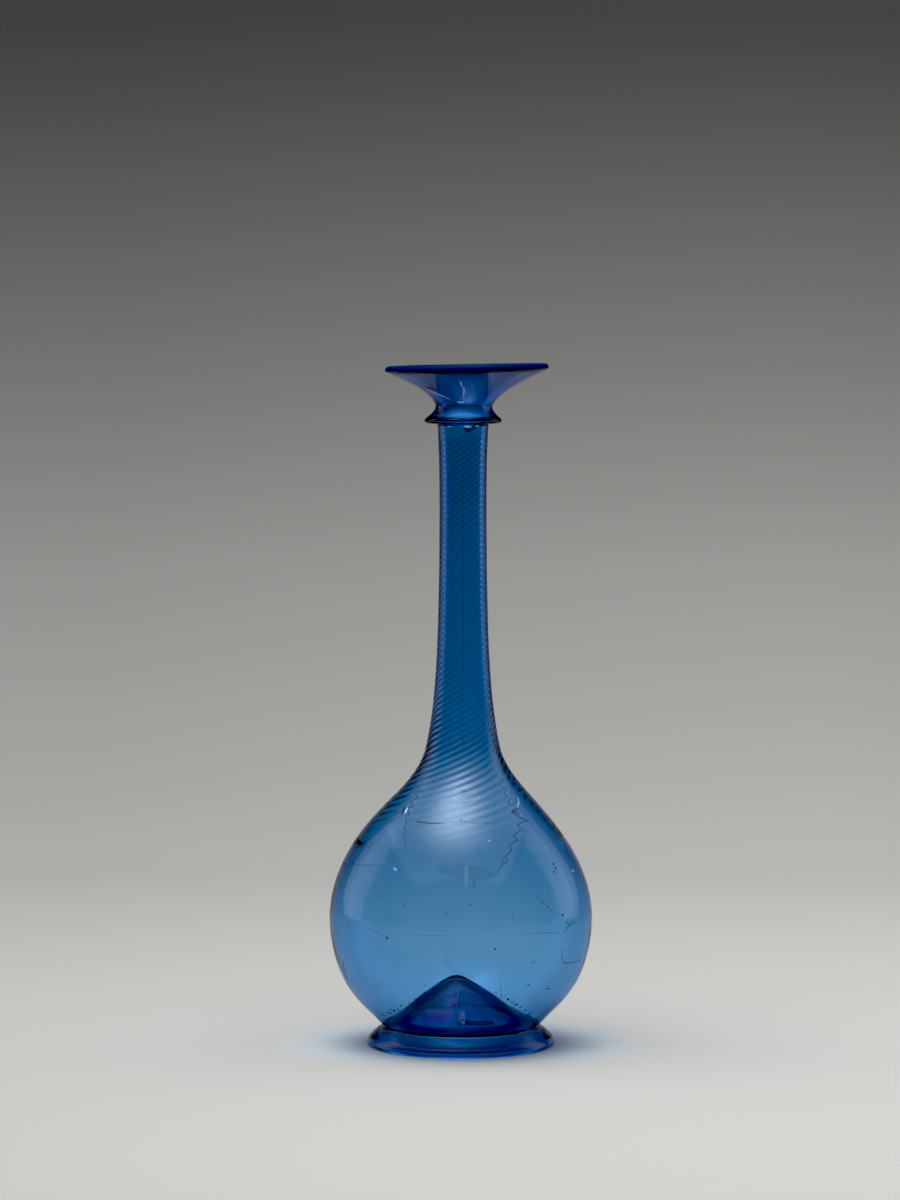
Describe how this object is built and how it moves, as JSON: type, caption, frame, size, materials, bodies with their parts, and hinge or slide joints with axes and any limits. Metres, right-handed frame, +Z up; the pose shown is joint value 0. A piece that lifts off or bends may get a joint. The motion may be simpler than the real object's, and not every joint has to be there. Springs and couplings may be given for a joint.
{
  "type": "glass bottle",
  "caption": "Blown-glass bottle: globular body on a flared foot with a kicked-in base, long spirally ribbed neck, collar and funnel mouth. Holds and pours a liquid.",
  "frame": {"origin": "middle of the body on the surface that the foot stands on", "axes": "+Z up through the mouth; -Y towards the side that the picture shows; +X to the right of that view"},
  "size_m": [0.1042, 0.1042, 0.2706],
  "materials": {
    "blue_glass": "fire-polished, slightly weathered"
  },
  "bodies": {
    "root": {"bottle": "blue_glass"}
  },
  "joints": []
}
